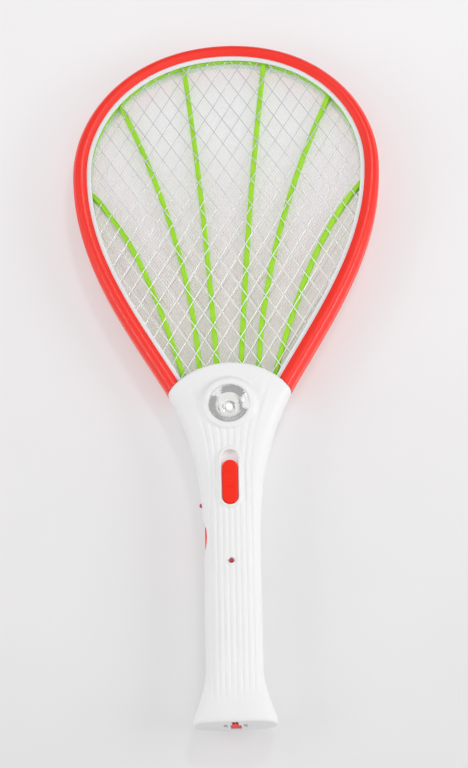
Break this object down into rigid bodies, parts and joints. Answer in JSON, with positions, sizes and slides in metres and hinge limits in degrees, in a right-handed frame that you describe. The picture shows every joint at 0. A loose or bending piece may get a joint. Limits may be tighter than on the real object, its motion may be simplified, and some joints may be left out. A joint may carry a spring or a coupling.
{
  "type": "electric fly swatter",
  "caption": "Racket-shaped electric fly swatter: layered metal grids in a ribbed head, and a handle with lamp, slide switch, side button and pull-out charging plug.",
  "frame": {"origin": "centre of the handle's flat end face, on the parting plane of the two halves", "axes": "+Z along the handle towards the head, -Y out of the front (lamp side), +X to the right as seen from the front"},
  "size_m": [0.214, 0.0312, 0.49],
  "materials": {
    "shell_white": "satin moulded",
    "bezel_red": "glossy moulded",
    "rib_green": "satin moulded",
    "grid_metal": "bright expanded sheet",
    "grid_metal_dark": "dull expanded sheet",
    "reflector_chrome": "mirror",
    "clear_plastic": "clear",
    "red_lens": "clear red",
    "plated_steel": "nickel plated",
    "black_plastic": "matt",
    "board_green": "solder mask",
    "coil_yellow": "taped",
    "film_brown": "dipped",
    "lead_red": "insulated wire",
    "lead_black": "insulated wire"
  },
  "bodies": {
    "handle": {"front_housing": "shell_white", "rear_housing": "shell_white", "front_grid_ring": "shell_white", "rear_grid_ring": "shell_white", "front_bezel": "bezel_red", "rear_bezel": "bezel_red", "front_rib_frame": "rib_green", "rear_rib_frame": "rib_green", "front_grid": "grid_metal", "middle_grid": "grid_metal_dark", "rear_grid": "grid_metal_dark", "lamp_reflector": "reflector_chrome", "lamp_lens": "clear_plastic", "lamp_led": "clear_plastic", "front_indicator_led": "red_lens", "side_indicator_led": "red_lens", "tact_switch": "black_plastic", "drive_transistor": "black_plastic", "battery": "black_plastic", "switch_body": "plated_steel", "plug_contact_left": "plated_steel", "plug_contact_right": "plated_steel", "housing_screw_1": "plated_steel", "housing_screw_2": "plated_steel", "housing_screw_3": "plated_steel", "housing_screw_4": "plated_steel", "housing_screw_5": "plated_steel", "housing_screw_6": "plated_steel", "circuit_board": "board_green", "step_up_transformer": "coil_yellow", "storage_capacitor": "film_brown", "film_capacitor": "film_brown", "discharge_resistor": "film_brown", "front_grid_lead": "lead_red", "rear_grid_lead": "lead_red", "battery_lead": "lead_red", "middle_grid_lead": "lead_black", "lamp_lead": "lead_black", "charging_lead": "lead_black"},
    "slide_switch": {"slide_cap": "bezel_red", "switch_lever": "black_plastic"},
    "push_button": {"side_button": "bezel_red"},
    "charging_plug": {"plug_carrier": "bezel_red", "plug_blade_left": "plated_steel", "plug_blade_right": "plated_steel", "thumb_slide": "bezel_red"}
  },
  "joints": [
    {"name": "switch_slide", "type": "slide", "parent": "handle", "child": "slide_switch", "axis": [0, 0, 1], "range_m": [0, 0.0069]},
    {"name": "button_press", "type": "slide", "parent": "handle", "child": "push_button", "axis": [1, 0, 0], "range_m": [0, 0.0015], "stiffness_N_per_m": 600},
    {"name": "plug_slide", "type": "slide", "parent": "handle", "child": "charging_plug", "axis": [0, 0, -1], "range_m": [0, 0.018]}
  ]
}
